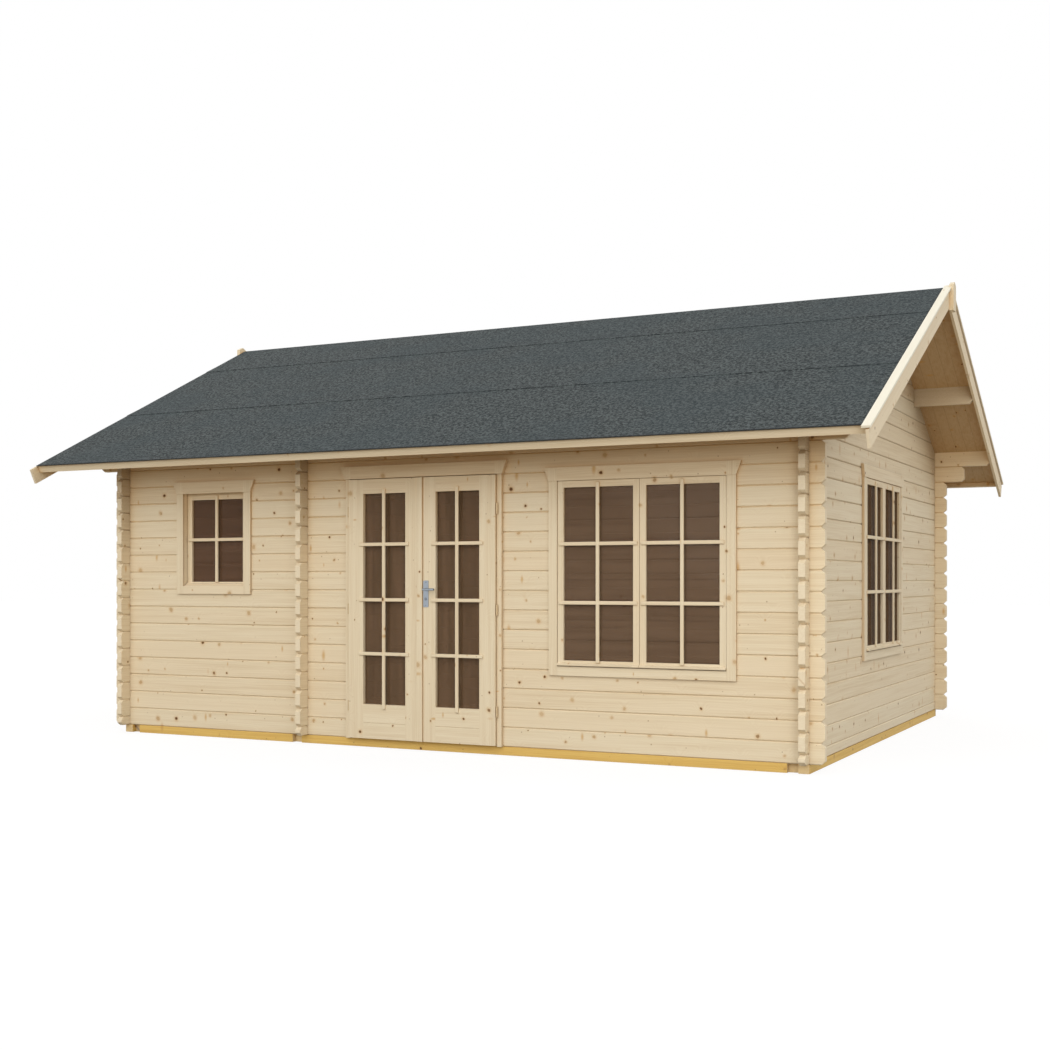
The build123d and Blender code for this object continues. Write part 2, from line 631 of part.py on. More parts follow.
save("left_leaf_hinges", *[left_place * hinge_half(1, True, z) for z in HINGE_HEIGHTS])
save("right_leaf_hinges", *[right_place * hinge_half(-1, True, z) for z in HINGE_HEIGHTS])
save("frame_hinges", *[left_place * hinge_half(1, False, z) for z in HINGE_HEIGHTS],
     *[right_place * hinge_half(-1, False, z) for z in HINGE_HEIGHTS])
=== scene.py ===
"""Looks of the log cabin: wood, felt, glass and steel, glazing bars and small trim, light and camera."""

import math
from types import SimpleNamespace

import bmesh
import bpy
from mathutils import Matrix, Vector


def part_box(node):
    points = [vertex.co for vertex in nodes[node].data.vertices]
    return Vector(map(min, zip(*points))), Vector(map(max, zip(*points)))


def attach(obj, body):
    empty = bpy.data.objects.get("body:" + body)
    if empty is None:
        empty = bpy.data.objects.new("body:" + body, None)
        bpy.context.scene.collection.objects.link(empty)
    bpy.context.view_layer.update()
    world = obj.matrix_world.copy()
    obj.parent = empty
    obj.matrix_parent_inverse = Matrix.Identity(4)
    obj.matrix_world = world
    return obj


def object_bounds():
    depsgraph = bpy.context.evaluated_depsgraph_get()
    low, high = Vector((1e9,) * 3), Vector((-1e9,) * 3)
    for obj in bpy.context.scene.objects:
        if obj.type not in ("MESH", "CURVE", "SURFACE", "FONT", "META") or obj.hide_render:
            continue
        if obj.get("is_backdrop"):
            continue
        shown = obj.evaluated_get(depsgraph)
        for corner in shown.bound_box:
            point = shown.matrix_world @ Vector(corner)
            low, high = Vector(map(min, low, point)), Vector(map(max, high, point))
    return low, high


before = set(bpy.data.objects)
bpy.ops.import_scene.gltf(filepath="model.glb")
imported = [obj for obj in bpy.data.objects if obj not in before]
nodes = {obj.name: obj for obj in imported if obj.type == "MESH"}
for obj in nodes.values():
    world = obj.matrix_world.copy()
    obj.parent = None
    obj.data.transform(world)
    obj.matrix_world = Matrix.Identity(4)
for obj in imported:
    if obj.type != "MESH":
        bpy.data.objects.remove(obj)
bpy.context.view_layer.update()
scene = bpy.context.scene


def linear(red, green, blue):
    """A display colour of 0 to 255 as a linear colour."""
    values = []
    for value in (red, green, blue):
        value = value / 255
        values.append(value / 12.92 if value <= 0.04045 else ((value + 0.055) / 1.055) ** 2.4)
    return (*values, 1.0)


class Graph:
    """Short names for the nodes of one material, or of the world."""

    def __init__(self, owner):
        owner.use_nodes = True
        self.owner = owner
        self.tree = owner.node_tree
        self.shader = self.tree.nodes.get("Principled BSDF")

    def put(self, socket, value):
        if isinstance(value, bpy.types.NodeSocket):
            self.tree.links.new(value, socket)
        else:
            socket.default_value = value

    def node(self, kind, **settings):
        made = self.tree.nodes.new(kind)
        for key, value in settings.items():
            setattr(made, key, value)
        return made

    def math(self, operation, first, second=0.0, third=0.0):
        made = self.node("ShaderNodeMath", operation=operation)
        for socket, value in zip(made.inputs, (first, second, third)):
            self.put(socket, value)
        return made.outputs[0]

    def add(self, first, second):
        return self.math("ADD", first, second)

    def times(self, first, second):
        return self.math("MULTIPLY", first, second)

    def scaled(self, value, factor, offset):
        return self.add(self.times(value, factor), offset)

    def ripple(self, value, rate):
        """A wave between 0 and 1, with rate radians to a unit of the value."""
        return self.scaled(self.math("SINE", self.times(value, rate)), 0.5, 0.5)

    def step(self, value, low, high):
        """0 below low, 1 above high, smooth between; low may be the larger."""
        made = self.node("ShaderNodeMapRange", interpolation_type="SMOOTHSTEP")
        for name, item in (("Value", value), ("From Min", low), ("From Max", high)):
            self.put(made.inputs[name], item)
        return made.outputs["Result"]

    def picked(self, chance, share):
        """1 for that share of the chances from 0 to 1, or else 0."""
        return self.step(chance, 1.0 - share, 1.01 - share)

    def between(self, factor, first, second):
        """A mix of two numbers. A Mix node has sockets for each kind of data, told by their number."""
        made = self.node("ShaderNodeMix", data_type="FLOAT")
        for number, value in ((0, factor), (2, first), (3, second)):
            self.put(made.inputs[number], value)
        return made.outputs[0]

    def colour(self, factor, first, second, blend="MIX"):
        """A mix of two colours."""
        made = self.node("ShaderNodeMix", data_type="RGBA", blend_type=blend)
        for number, value in ((0, factor), (6, first), (7, second)):
            self.put(made.inputs[number], value)
        return made.outputs[2]

    def vector(self, x, y, z=0.0):
        made = self.node("ShaderNodeCombineXYZ")
        for socket, value in zip(made.inputs, (x, y, z)):
            self.put(socket, value)
        return made.outputs[0]

    def split(self, vector):
        made = self.node("ShaderNodeSeparateXYZ")
        self.put(made.inputs[0], vector)
        return made.outputs[0], made.outputs[1], made.outputs[2]

    def noise(self, vector, scale, detail=2.0, roughness=0.5):
        made = self.node("ShaderNodeTexNoise")
        self.put(made.inputs["Vector"], vector)
        made.inputs["Scale"].default_value = scale
        made.inputs["Detail"].default_value = detail
        made.inputs["Roughness"].default_value = roughness
        return made.outputs[0]

    def stretched(self, places, rates, detail=2.0, roughness=0.5):
        """Noise over two or three coordinates, each with its own number of waves a metre."""
        scaled = [self.times(place, rate) for place, rate in zip(places, rates)]
        return self.noise(self.vector(*scaled), 1.0, detail, roughness)

    def cells(self, vector, scale):
        """Distance in metres to the nearest of scattered points, and three chances of that point."""
        made = self.node("ShaderNodeTexVoronoi", voronoi_dimensions="2D")
        self.put(made.inputs["Vector"], vector)
        made.inputs["Scale"].default_value = scale
        return self.times(made.outputs["Distance"], 1.0 / scale), self.split(made.outputs["Color"])

    def chance(self, value):
        """Three even chances that belong to a number."""
        made = self.node("ShaderNodeTexWhiteNoise", noise_dimensions="1D")
        self.put(made.inputs["W"], value)
        return self.split(made.outputs["Color"])

    def coordinate(self, kind):
        return self.node("ShaderNodeTexCoord").outputs[kind]

    def place(self):
        return self.split(self.coordinate("Object"))

    def facing(self):
        return self.split(self.coordinate("Normal"))

    def open_share(self, reach, samples):
        """1 in the open, less where other surfaces lie within reach."""
        made = self.node("ShaderNodeAmbientOcclusion", samples=samples)
        made.inputs["Distance"].default_value = reach
        return made.outputs["AO"]

    def surface(self, sockets):
        """Sets the sockets of the material's shader by name."""
        for name, value in sockets.items():
            self.put(self.shader.inputs[name], value)

    def bump(self, height, strength, distance):
        made = self.node("ShaderNodeBump")
        made.inputs["Strength"].default_value = strength
        made.inputs["Distance"].default_value = distance
        self.put(made.inputs["Height"], height)
        self.surface({"Normal": made.outputs[0]})


def new_material(name):
    return Graph(bpy.data.materials.new(name))


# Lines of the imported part, in metres
LOG_PITCH = 0.136
LONG_START = 0.060
CROSS_START = LONG_START + LOG_PITCH / 2
ROOF_ANGLE = math.radians(26.1)
BOARD_PITCH = 0.088
FLOOR_PITCH = 0.112

# Tones of wood: its light ground, its deep grain, and the rosy ground of some members
SPRUCE = (linear(234, 221, 193), linear(212, 189, 152), linear(232, 210, 176))
TREATED = (linear(230, 195, 112), linear(198, 152, 72), linear(230, 190, 124))
EDGING = (linear(239, 235, 219), linear(226, 217, 194), linear(236, 229, 210))
# Painted shade: the roof boarding is spruce made darker and warmer, for its underside under the eaves
SHADED_BOARDING = (linear(200, 175, 137), linear(175, 138, 95), linear(196, 166, 128))
BEADING = (linear(214, 186, 148), linear(190, 156, 112), linear(210, 180, 140))
KNOT_RIM = linear(202, 157, 90)
KNOT_BODY = linear(172, 130, 74)
KNOT_HEART = linear(98, 66, 38)
SPECK = linear(150, 113, 66)
END_TONE = linear(243, 230, 204)
JOINT_LINE = linear(150, 118, 78)
# Painted shade: the next colour is a brown laid into the corners where pieces meet
CORNER_SHADE_TONE = linear(150, 112, 72)
EDGE_TONE = linear(176, 138, 96)
# Painted shade: darker, warmer tints multiplied into what lies under the roof
ROOF_SHADE_TINT = (1.0, 0.86, 0.66, 1.0)
DEEP_ROOF_SHADE_TINT = (0.46, 0.38, 0.29, 1.0)

# Below, RATE is waves or rows a metre, CELLS scattered points a metre, SHOW the strength of a tone, LEAST
# and MORE a value and what chance adds to it, and any other pair in brackets the two ends of a step. Sizes
# are in metres.

# Members: rows without a pitch, numbers of the upright ones, and the shift of each one's pattern in metres
LOOSE_START, LOOSE_RATE = 0.31, 1.4
RAIL_RATE = 1.3
FIRST_UPRIGHT = 7
MEMBER_SHIFT = 37.0

# Knots, with radii as a share of the knot's own
KNOT_CELLS = 5.2
KNOT_SHARE = 0.62
KNOT_LEAST, KNOT_MORE = 0.0045, 0.009
BEND_RATE = 34.0
BEND_ALONG, BEND_ACROSS = 0.016, -0.012
HALO_RADII = (3.0, 1.0)
HALO_SHOW = 0.32
RIM_RADII = (1.5, 0.8)
RIM_SHOW, RIM_SHOW_MORE = 0.3, 0.5
HEART_RADII = (1.15, 0.6)
HEART_CHANCE = (0.55, 0.75)

# Specks, and wings drawn out across the grain
SPECK_CELLS = 6.4
SPECK_SHARE = 0.5
SPECK_SHIFT_ALONG, SPECK_SHIFT_ACROSS = 5.3, 2.1
SPECK_LEAST, SPECK_MORE = 0.003, 0.0045
SPECK_CORE = 0.001
SPECK_SHOW = 0.75
WING_CELLS = 4.0
WING_STRETCH = 0.4
WING_LEAST, WING_MORE = 0.007, 0.018
WING_CHANCE = (0.3, 0.5)
WING_SHOW = 0.75

# Grain, with rates along, across and through the wood
WAVE_RATES = (0.9, 6.0, 6.0)
STREAK_RATES = (1.3, 46.0, 46.0)
STREAK_DETAIL, STREAK_ROUGH = 4.0, 0.6
STREAK_RANGE = (0.35, 0.75)
STREAK_SHOW = 0.42
FIBRE_RATES = (9.0, 420.0, 420.0)
FIBRE_SHOW = 0.14
RING_RATE = 62.0
RING_WAVE = 5.0
RING_SWELL = 2.6
RING_SHOW = 0.16
SWELL_REACH = 0.07
ROSY_SHOW = 0.5
TONE_LEAST, TONE_MORE = 0.55, 0.6

# Sawn ends: the facing that counts as one, and growth rings, in radians a metre, round a heart off the middle
CUT_FACING = (0.75, 0.95)
CUT_SHOW = 0.4
CUT_RING_RATE = 1500.0
CUT_RING_SHOW = 0.14
HEART_OFF = 0.013

# Drawn joints, narrow edges, painted shade in the corners where pieces meet, and painted shade tinting what
# lies under the roof from a height up
JOINT_CORE = 0.25
JOINT_SHOW = 0.45
NARROW_FACING = (0.6, 0.4)
NARROW_SHOW = 0.35
CORNER_SHADE_REACH, CORNER_SHADE_SAMPLES = 0.03, 8
CORNER_SHADE_RANGE = (0.82, 0.4)
CORNER_SHADE_SHOW = 0.3
LOG_CORNER_SHADE_SHOW = 0.24
ROOF_SHADE_REACH, ROOF_SHADE_SAMPLES = 0.5, 4
ROOF_SHADE_RANGE = (0.92, 0.3)
ROOF_SHADE_HEIGHT = (1.3, 1.8)
ROOF_SHADE_SHOW = 0.8

# Relief and gloss of the wood
STREAK_RISE = 0.5
FIBRE_RISE = 0.35
HEART_RISE = -0.4
JOINT_RISE = -4.0
WOOD_BUMP, WOOD_RELIEF = 0.35, 0.0008
WOOD_ROUGH, WOOD_ROUGH_MORE = 0.52, 0.18
WOOD_SPECULAR = 0.25


def knot_marks(g, own, around, knots):
    """Where uneven knots, some with a dark heart, small specks and tan wings lie on the wood."""
    bend = g.stretched((own, around), (BEND_RATE, BEND_RATE), 1.0)
    bent = g.vector(g.add(own, g.times(bend, BEND_ALONG)), g.add(around, g.times(bend, BEND_ACROSS)))
    spot, (size, there, dark) = g.cells(bent, KNOT_CELLS)
    radius = g.scaled(g.times(size, size), KNOT_MORE, KNOT_LEAST)
    there = g.picked(there, KNOT_SHARE * knots)
    near = g.math("DIVIDE", spot, radius)
    heart = g.times(g.times(g.step(near, *HEART_RADII), there), g.step(dark, *HEART_CHANCE))

    shifted = g.vector(g.add(own, SPECK_SHIFT_ALONG), g.add(around, SPECK_SHIFT_ACROSS))
    speck, (speck_size, speck_there, _) = g.cells(shifted, SPECK_CELLS)
    speck = g.step(speck, g.scaled(speck_size, SPECK_MORE, SPECK_LEAST), SPECK_CORE)

    wing, (wing_size, wing_there, _) = g.cells(g.vector(own, g.times(around, WING_STRETCH)), WING_CELLS)
    wing = g.step(wing, g.scaled(wing_size, WING_MORE, WING_LEAST), 0.0)
    return SimpleNamespace(
        spot=spot,
        dark=dark,
        halo=g.times(g.step(near, *HALO_RADII), there),
        rim=g.times(g.step(near, *RIM_RADII), there),
        heart=heart,
        speck=g.times(speck, g.picked(speck_there, SPECK_SHARE * knots)),
        wing=g.times(wing, g.step(wing_there, *WING_CHANCE)),
    )


def paint_knots(g, shade, marks):
    """Lays the marks over the grain's colour."""
    shade = g.colour(g.times(marks.wing, WING_SHOW), shade, KNOT_RIM)
    shade = g.colour(g.times(marks.halo, HALO_SHOW), shade, KNOT_RIM)
    shade = g.colour(g.times(marks.rim, g.scaled(marks.dark, RIM_SHOW_MORE, RIM_SHOW)), shade, KNOT_BODY)
    shade = g.colour(marks.heart, shade, KNOT_HEART)
    return g.colour(g.times(marks.speck, SPECK_SHOW), shade, SPECK)


def paint_corner_and_roof_shade(g, shade, height, corner_shade, roof_shade_tint):
    """Paints shade found by ambient occlusion: darkens the corners where pieces meet, and tints what lies
    under the roof darker and warmer.
    """
    corner = g.step(g.open_share(CORNER_SHADE_REACH, CORNER_SHADE_SAMPLES), *CORNER_SHADE_RANGE)
    shade = g.colour(g.times(corner, corner_shade), shade, CORNER_SHADE_TONE)
    under = g.step(g.open_share(ROOF_SHADE_REACH, ROOF_SHADE_SAMPLES), *ROOF_SHADE_RANGE)
    under = g.times(under, g.step(height, *ROOF_SHADE_HEIGHT))
    return g.colour(g.times(under, ROOF_SHADE_SHOW), shade, roof_shade_tint, "MULTIPLY")


def wood(name, lay, pitch=0.0, start=0.0, line=0.0, tones=SPRUCE, knots=1.0, uprights=(), turn=0.0,
         edged=False, corner_shade=CORNER_SHADE_SHOW, roof_shade_tint=ROOF_SHADE_TINT):
    """Planed softwood. lay names the grain's axis, the axis across it and the one through it.

    pitch and start give rows of logs or boards across the grain, with a drawn joint where line has a
    width. knots is the share of the knots and specks that is kept. uprights, for wood without a pitch,
    are the spans of the first axis in which the grain stands up instead. turn slopes the grain with the
    roof. edged darkens the narrow faces round a board. The last two arguments paint shade: the first
    darkens the corners where pieces meet, and the second tints what lies under the roof darker and warmer.
    """
    g = new_material(name)
    place = dict(zip("xyz", g.place()))
    facing = dict(zip("xyz", g.facing()))
    along, across, depth = (place[axis] for axis in lay)
    if turn:
        out = g.math("ABSOLUTE", along)
        along = g.add(g.times(out, math.cos(turn)), g.times(across, -math.sin(turn)))
        across = g.add(g.times(out, math.sin(turn)), g.times(across, math.cos(turn)))
    if pitch:
        row = g.times(g.add(across, -start), 1.0 / pitch)
    elif uprights:
        row = g.times(across, RAIL_RATE)
    else:
        row = g.times(g.add(across, LOOSE_START), LOOSE_RATE)
    member = g.math("FLOOR", row)
    end_face = g.math("ABSOLUTE", facing[lay[0]])
    if uprights:
        standing = 0.0
        for number, (low, high) in enumerate(uprights, FIRST_UPRIGHT):
            here = g.math("COMPARE", along, (low + high) / 2, (high - low) / 2)
            standing = g.math("MAXIMUM", standing, here)
            member = g.between(here, member, float(number))
        along, across = g.between(standing, along, across), g.between(standing, across, along)
        end_face = g.between(standing, end_face, g.math("ABSOLUTE", facing[lay[1]]))
    tone, hue, shift = g.chance(member)
    own = g.add(along, g.times(shift, MEMBER_SHIFT))
    around = across if lay[2] == "z" else g.add(across, depth)
    marks = knot_marks(g, own, around, knots)

    # Grain: growth lines that bend round the knots, over long streaks
    grain = (own, across, depth)
    wave = g.stretched(grain, WAVE_RATES)
    swell = g.step(marks.spot, SWELL_REACH, 0.0)
    rings = g.add(g.times(across, RING_RATE), g.times(wave, RING_WAVE))
    rings = g.ripple(g.add(rings, g.times(swell, RING_SWELL)), math.tau)
    streak = g.stretched(grain, STREAK_RATES, STREAK_DETAIL, STREAK_ROUGH)
    fibre = g.stretched(grain, FIBRE_RATES)
    light, deep, rosy = tones
    ground = g.colour(g.times(hue, ROSY_SHOW), light, rosy)
    amount = g.add(g.times(rings, RING_SHOW), g.times(g.step(streak, *STREAK_RANGE), STREAK_SHOW))
    amount = g.add(amount, g.times(fibre, FIBRE_SHOW))
    shade = g.colour(g.times(amount, g.scaled(tone, TONE_MORE, TONE_LEAST)), ground, deep)
    shade = paint_knots(g, shade, marks)
    height = g.add(g.times(fibre, FIBRE_RISE), g.times(marks.heart, HEART_RISE))
    height = g.add(g.times(streak, STREAK_RISE), height)

    # Sawn ends, joints and edges
    cut = g.step(end_face, *CUT_FACING)
    off_heart = g.math("POWER", g.add(depth, HEART_OFF), 2.0)
    cut_rings = g.math("SQRT", g.add(off_heart, g.math("POWER", across, 2.0)))
    cut_rings = g.ripple(cut_rings, CUT_RING_RATE)
    shade = g.colour(g.times(cut, CUT_SHOW), shade, END_TONE)
    shade = g.colour(g.times(cut, g.times(cut_rings, CUT_RING_SHOW)), shade, deep)
    if line:
        part = g.math("SUBTRACT", row, member)
        edge = g.times(g.math("MINIMUM", part, g.math("SUBTRACT", 1.0, part)), pitch)
        gap = g.times(g.step(edge, line, line * JOINT_CORE), g.math("SUBTRACT", 1.0, cut))
        shade = g.colour(g.times(gap, JOINT_SHOW), shade, JOINT_LINE)
        height = g.add(height, g.times(gap, JOINT_RISE))
    if edged:
        narrow = g.step(g.math("ABSOLUTE", facing[lay[2]]), *NARROW_FACING)
        shade = g.colour(g.times(narrow, NARROW_SHOW), shade, EDGE_TONE)
    # Painted shade: darker corners where pieces meet, and a darker, warmer tint under the roof
    shade = paint_corner_and_roof_shade(g, shade, place["z"], corner_shade, roof_shade_tint)
    g.surface({"Base Color": shade,
               "Roughness": g.scaled(streak, WOOD_ROUGH_MORE, WOOD_ROUGH),
               "Specular IOR Level": WOOD_SPECULAR})
    g.bump(height, WOOD_BUMP, WOOD_RELIEF)
    return g.owner


# Felt: its tones, the rates of its noise, and the near-black strips drawn along its edges, in metres
FELT_DARK = linear(29, 35, 37)
FELT_PALE = linear(88, 95, 95)
FELT_BLUE = linear(54, 66, 70)
GRANULE = linear(118, 122, 122)
FELT_PIT = linear(26, 29, 31)
FELT_EDGE_BLACK = linear(18, 19, 20)
GRIT_RATE, CLUMP_RATE, DRIFT_RATE = 330.0, 52.0, 1.7
FELT_ROUGH_NOISE = 0.7
CLUMP_RANGE = (0.4, 0.62)
DRIFT_RANGE = (0.4, 0.65)
DRIFT_SHOW = 0.3
GRANULE_RANGE = (0.52, 0.72)
GRANULE_SHOW = 0.5
PIT_RANGE = (0.45, 0.3)
PIT_SHOW = 0.6
EAVE_DARK_BAND = (0.018, 0.008)
RIGHT_DARK_BAND = (0.018, 0.010)
LEFT_DARK_BAND = (0.012, 0.004)
DARK_BAND_SHOW = 0.85
CLUMP_RISE, GRIT_RISE = 0.7, 0.5
FELT_BUMP, FELT_RELIEF = 0.7, 0.004
FELT_ROUGH, FELT_ROUGH_MORE = 0.78, 0.2
FELT_SPECULAR = 0.2


def felt(eave, left, right):
    """Mineral felt: slate granules on black bitumen, with a near-black strip drawn along the edges at eave,
    left and right.
    """
    g = new_material("slate_felt")
    place = g.coordinate("Object")
    x, y, _ = g.split(place)
    grit = g.noise(place, GRIT_RATE, 2.0, FELT_ROUGH_NOISE)
    clump = g.noise(place, CLUMP_RATE, 3.0, FELT_ROUGH_NOISE)
    drift = g.noise(place, DRIFT_RATE, 3.0)
    shade = g.colour(g.step(clump, *CLUMP_RANGE), FELT_DARK, FELT_PALE)
    shade = g.colour(g.times(g.step(drift, *DRIFT_RANGE), DRIFT_SHOW), shade, FELT_BLUE)
    shade = g.colour(g.times(g.step(grit, *GRANULE_RANGE), GRANULE_SHOW), shade, GRANULE)
    shade = g.colour(g.times(g.step(grit, *PIT_RANGE), PIT_SHOW), shade, FELT_PIT)
    # Near-black strips drawn along the eave and the left and right edges
    at_eave = g.step(g.math("ABSOLUTE", y), *(eave - inset for inset in EAVE_DARK_BAND))
    at_right = g.step(x, *(right - inset for inset in RIGHT_DARK_BAND))
    at_left = g.step(x, *(left + inset for inset in LEFT_DARK_BAND))
    dark_band = g.math("MAXIMUM", at_eave, g.math("MAXIMUM", at_right, at_left))
    shade = g.colour(g.times(dark_band, DARK_BAND_SHOW), shade, FELT_EDGE_BLACK)
    g.surface({"Base Color": shade,
               "Roughness": g.scaled(grit, FELT_ROUGH_MORE, FELT_ROUGH),
               "Specular IOR Level": FELT_SPECULAR})
    g.bump(g.add(g.times(clump, CLUMP_RISE), g.times(grit, GRIT_RISE)), FELT_BUMP, FELT_RELIEF)
    return g.owner


# Panes: painted shade of the unlit room behind them, with its streaks, log seams and knots, and the glass
# itself
ROOM_DARK = linear(66, 46, 32)
PANE_STREAK_RATES = (1.4, 24.0)
PANE_STREAK_DETAIL, PANE_STREAK_ROUGH = 3.0, 0.6
PANE_STREAK_RANGE = (0.3, 0.7)
PANE_SEAM = (0.455, 0.49)
PANE_KNOT = (0.013, 0.006)
PANE_KNOT_SHARE = 0.4
PANE_MARK_SHOW = 0.35
PANE_ROUGH, PANE_ROUGH_MORE = 0.03, 0.04
PANE_ALPHA = 0.62
PANE_IOR = 1.5
FRONT_GLOSS = 0.12
GABLE_GLOSS = 0.002


def glass(name, light, deep, gloss, upright=False):
    """Clear panes whose brown is painted shade of the unlit room behind them, with that room's logs drawn
    faintly.
    """
    g = new_material(name)
    x, y, z = g.place()
    side = g.add(x, y)
    along, across = (z, side) if upright else (side, z)
    streak = g.stretched((along, across), PANE_STREAK_RATES, PANE_STREAK_DETAIL, PANE_STREAK_ROUGH)
    part = g.math("FRACT", g.times(across, 1.0 / LOG_PITCH))
    seam = g.step(g.math("ABSOLUTE", g.add(part, -0.5)), *PANE_SEAM)
    knot, (_, there, _) = g.cells(g.vector(along, across), KNOT_CELLS)
    knot = g.times(g.step(knot, *PANE_KNOT), g.picked(there, PANE_KNOT_SHARE))
    shade = g.colour(g.step(streak, *PANE_STREAK_RANGE), deep, light)
    shade = g.colour(g.times(g.math("MAXIMUM", seam, knot), PANE_MARK_SHOW), shade, ROOM_DARK)
    g.surface({"Base Color": shade,
               "Roughness": g.scaled(streak, PANE_ROUGH_MORE, PANE_ROUGH),
               "Alpha": PANE_ALPHA,
               "IOR": PANE_IOR,
               "Specular IOR Level": gloss})
    return g.owner


# Metal, brushed upright
BRUSH_RATES = (900.0, 900.0, 40.0)
BRUSH_BUMP, BRUSH_RELIEF = 0.15, 0.0002
METAL_ROUGH, METAL_ROUGH_MORE = 0.3, 0.16
STEEL_SHINE = 0.9
ZINC_SHINE = 0.3


def metal(name, light, deep, shine):
    """Brushed metal."""
    g = new_material(name)
    brush = g.stretched(g.place(), BRUSH_RATES)
    g.surface({"Base Color": g.colour(brush, deep, light),
               "Metallic": shine,
               "Roughness": g.scaled(brush, METAL_ROUGH_MORE, METAL_ROUGH)})
    g.bump(brush, BRUSH_BUMP, BRUSH_RELIEF)
    return g.owner


def dress(material, *names):
    """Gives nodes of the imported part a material."""
    for name in names:
        for slot in nodes[name].material_slots:
            slot.material = material


# Wood of the walls, the roof and the base
BOARD_JOINT = 0.003
FLOOR_JOINT = 0.0025
# The logs take their own strength of painted corner shade; cross logs and purlins take the darker painted
# shade under the roof
dress(wood("logs_along", "xzy", LOG_PITCH, LONG_START, corner_shade=LOG_CORNER_SHADE_SHOW),
      "front_wall_logs", "back_wall_logs")
dress(wood("logs_across", "yzx", LOG_PITCH, CROSS_START, corner_shade=LOG_CORNER_SHADE_SHOW, roof_shade_tint=DEEP_ROOF_SHADE_TINT),
      "left_gable_logs", "right_gable_logs", "left_gable_peak", "right_gable_peak", "partition_logs")
dress(wood("timber_along", "xzy"), "wall_plates", "eave_fascias", "door_threshold")
dress(wood("purlin_wood", "xzy", roof_shade_tint=DEEP_ROOF_SHADE_TINT), "purlins")
dress(wood("timber_slope", "yzx", turn=ROOF_ANGLE), "barge_boards")
dress(wood("edging_wood", "yzx", tones=EDGING, turn=ROOF_ANGLE), "edge_strips")
dress(wood("finial_wood", "zyx"), "finials")
dress(wood("strip_wood", "zxy", edged=True), "meeting_strip")
# The roof boards' darker tones are painted shade
dress(wood("roof_boarding", "yxz", BOARD_PITCH, line=BOARD_JOINT, tones=SHADED_BOARDING),
      "roof_boards_front", "roof_boards_back")
dress(wood("floor_boarding", "xyz", FLOOR_PITCH, line=FLOOR_JOINT), "floor_main_room", "floor_side_room")
dress(wood("treated_along", "xzy", tones=TREATED), "foundation_front", "foundation_back")
dress(wood("treated_across", "yzx", tones=TREATED), "foundation_sides", "floor_joists")

# Joinery, with upright and level members in one node; sizes in metres
CASING_W = 0.064
CASING_FLARE = 0.036
CASING_PAST = 0.001
FRAME_W = 0.036
SASH_W = 0.044
DOOR_FRAME_W = 0.07
DOOR_CASING_IN = 0.03
FAR_OUT = 9.0
SPAN_PAST = 0.01
LEVEL_LAY = ("xzy", "yzx")


def side_spans(low, high, width, past=SPAN_PAST):
    """The two upright members at the ends of a length, each taken a little past its outer edge."""
    return [(low - past, low + width), (high - width, high + past)]


def frame_spans(name, axis, width, double=False):
    """The upright members of one frame, or of two side by side, along an axis."""
    low, high = (corner[axis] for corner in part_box(name))
    made = side_spans(low, high, width)
    if double:
        middle = (low + high) / 2
        made.append((middle - width, middle + width))
    return made


for name, axis, sash in (("small_window", 0, "_sash"),
                         ("front_window", 0, "_sashes"),
                         ("gable_window", 1, "_sashes")):
    lay = LEVEL_LAY[axis]
    low, high = (corner[axis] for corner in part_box(name + "_casing"))
    uprights = side_spans(low + CASING_FLARE, high - CASING_FLARE, CASING_W, CASING_PAST)
    dress(wood(name + "_casing_wood", lay, uprights=uprights, edged=True), name + "_casing")
    uprights = frame_spans(name + "_frame", axis, FRAME_W)
    dress(wood(name + "_frame_wood", lay, uprights=uprights), name + "_frame")
    uprights = frame_spans(name + sash, axis, SASH_W, sash == "_sashes")
    dress(wood(name + "_sash_wood", lay, uprights=uprights), name + sash)
dress(wood("door_frame_wood", "xzy", uprights=frame_spans("door_frame", 0, DOOR_FRAME_W)), "door_frame")
low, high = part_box("door_frame")
uprights = [(-FAR_OUT, low.x + DOOR_CASING_IN), (high.x - DOOR_CASING_IN, FAR_OUT)]
dress(wood("door_casing_wood", "xzy", uprights=uprights, edged=True), "door_casing")
for side in ("left", "right"):
    pane_low, pane_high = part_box(side + "_door_glass")
    leaf_low, leaf_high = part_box(side + "_door_leaf")
    uprights = [(leaf_low.x - SPAN_PAST, pane_low.x), (pane_high.x, leaf_high.x + SPAN_PAST)]
    dress(wood(side + "_leaf_wood", "xzy", uprights=uprights), side + "_door_leaf")

# Felt, panes and metal
dress(felt(eave=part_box("roof_felt_back")[1].y, left=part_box("roof_felt_front")[0].x,
           right=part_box("edge_strips")[0].x), "roof_felt_front", "roof_felt_back")
# Each set of panes has its own brown of painted room shade
dress(glass("front_panes", linear(129, 104, 82), linear(118, 94, 73), FRONT_GLOSS), "front_window_glass")
dress(glass("gable_panes", linear(110, 84, 59), linear(96, 72, 49), GABLE_GLOSS), "gable_window_glass")
dress(glass("door_panes", linear(126, 99, 75), linear(108, 85, 62), FRONT_GLOSS, upright=True),
      "left_door_glass", "right_door_glass")
dress(glass("side_room_panes", linear(116, 88, 68), linear(104, 78, 58), FRONT_GLOSS), "small_window_glass")
dress(metal("brushed_steel", linear(164, 172, 180), linear(128, 136, 146), STEEL_SHINE),
      "door_lever", "handle_plates")
dress(metal("yellow_zinc", linear(212, 190, 152), linear(188, 162, 122), ZINC_SHINE),
      "frame_hinges", "left_leaf_hinges", "right_leaf_hinges")


def put_in_scene(name, data):
    made = bpy.data.objects.new(name, data)
    scene.collection.objects.link(made)
    return made


